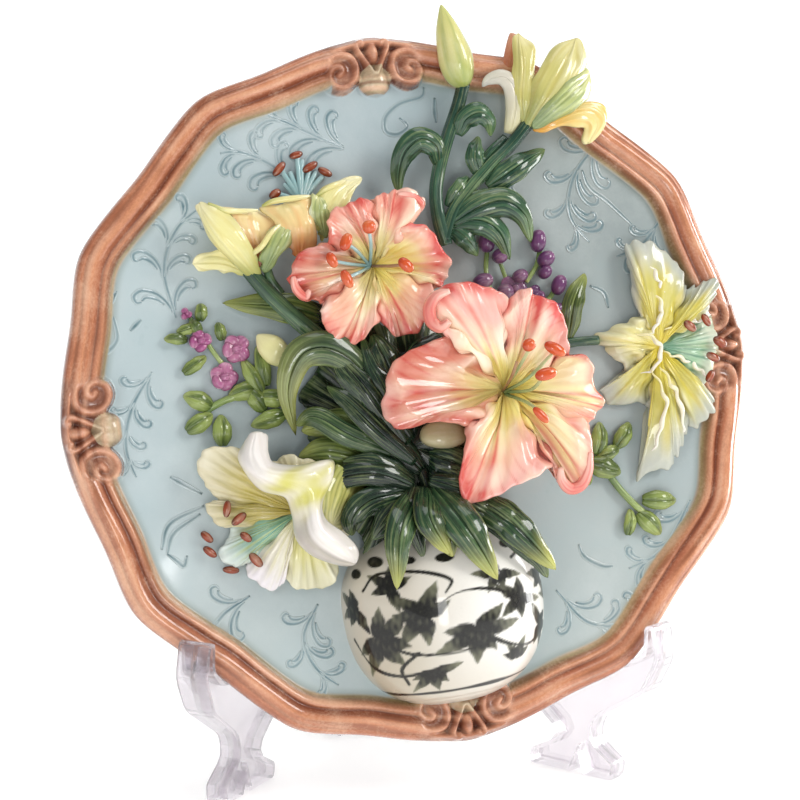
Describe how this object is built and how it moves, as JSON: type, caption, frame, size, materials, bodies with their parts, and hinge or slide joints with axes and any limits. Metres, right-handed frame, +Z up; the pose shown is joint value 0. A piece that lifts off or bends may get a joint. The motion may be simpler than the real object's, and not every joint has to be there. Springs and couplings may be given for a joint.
{
  "type": "decorative plate",
  "caption": "Glazed ceramic wall plate with a vase of lilies in high relief and a scrolled rim, standing in a clear folding plastic easel.",
  "frame": {"origin": "centre of the bounding box, on the floor that the easel stands on", "axes": "+Z up, the face of the plate looks along -Y, +X to the right of someone who looks at the face"},
  "size_m": [0.2986, 0.1516, 0.3347],
  "materials": {
    "glaze": "gloss",
    "clear_plastic": "clear"
  },
  "bodies": {
    "root": {"plate": "glaze", "easel_left": "clear_plastic", "easel_right": "clear_plastic"}
  },
  "joints": []
}
